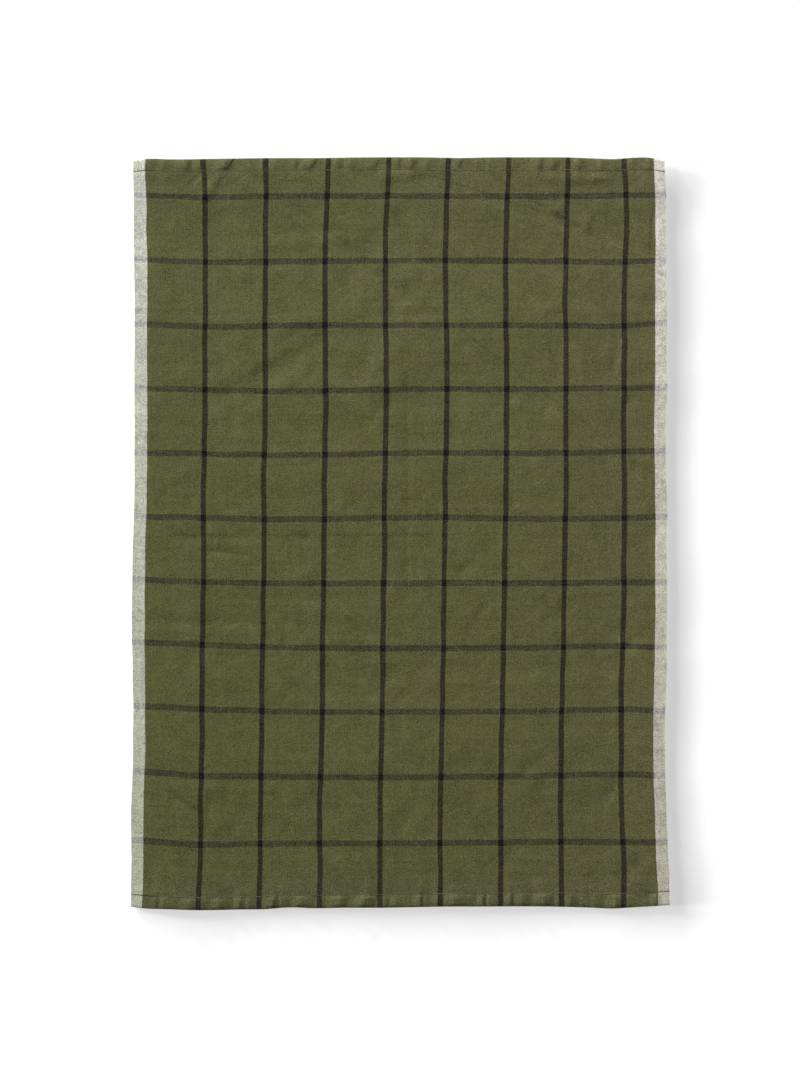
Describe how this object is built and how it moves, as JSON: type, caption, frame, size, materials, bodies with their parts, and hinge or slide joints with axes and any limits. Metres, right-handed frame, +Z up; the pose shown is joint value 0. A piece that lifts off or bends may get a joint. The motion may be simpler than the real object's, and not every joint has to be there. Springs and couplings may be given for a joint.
{
  "type": "tea towel",
  "caption": "Checked cotton tea towel lying flat, with light woven selvedge bands and narrow double-turned hems at its ends, for drying dishes.",
  "frame": {"origin": "middle of the towel's outline, on the surface that it lies on", "axes": "+X across the towel from its left selvedge to its right one, +Y along it towards its upper hem, +Z up through the cloth"},
  "size_m": [0.5043, 0.7034, 0.0067],
  "materials": {
    "cotton_cloth": "matt plain-weave cotton, green with a dark windowpane check and ecru selvedge bands",
    "sewing_thread": "fine matt sewing thread"
  },
  "bodies": {
    "root": {"towel_cloth": "cotton_cloth"}
  },
  "joints": []
}
